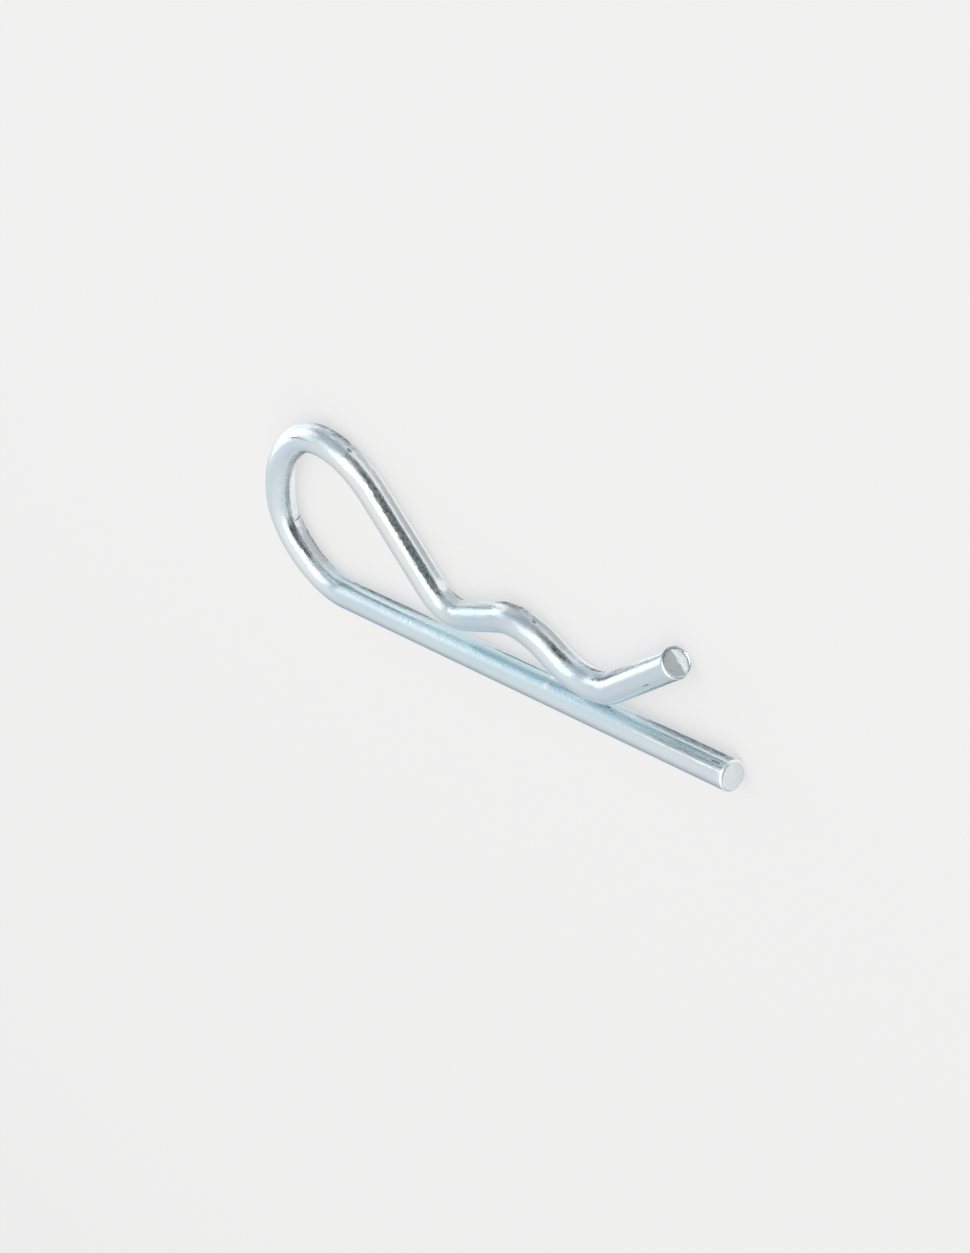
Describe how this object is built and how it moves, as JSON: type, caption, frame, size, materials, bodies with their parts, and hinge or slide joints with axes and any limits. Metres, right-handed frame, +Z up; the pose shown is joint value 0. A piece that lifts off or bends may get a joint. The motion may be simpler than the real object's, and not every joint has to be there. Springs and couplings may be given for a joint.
{
  "type": "hitch r clip pin",
  "caption": "Spring wire R clip with a rounded loop, a straight leg for a cross hole and a waved arm whose hump grips the shaft.",
  "frame": {"origin": "on the surface that the clip lies on, under the middle of its outer box", "axes": "+X along the straight leg to its free end, +Y from the leg to the arm's side, +Z up out of the plane that the wire is bent in"},
  "size_m": [0.09, 0.0312, 0.004],
  "materials": {
    "plated_wire": "gloss"
  },
  "bodies": {
    "root": {"r_clip": "plated_wire"}
  },
  "joints": []
}
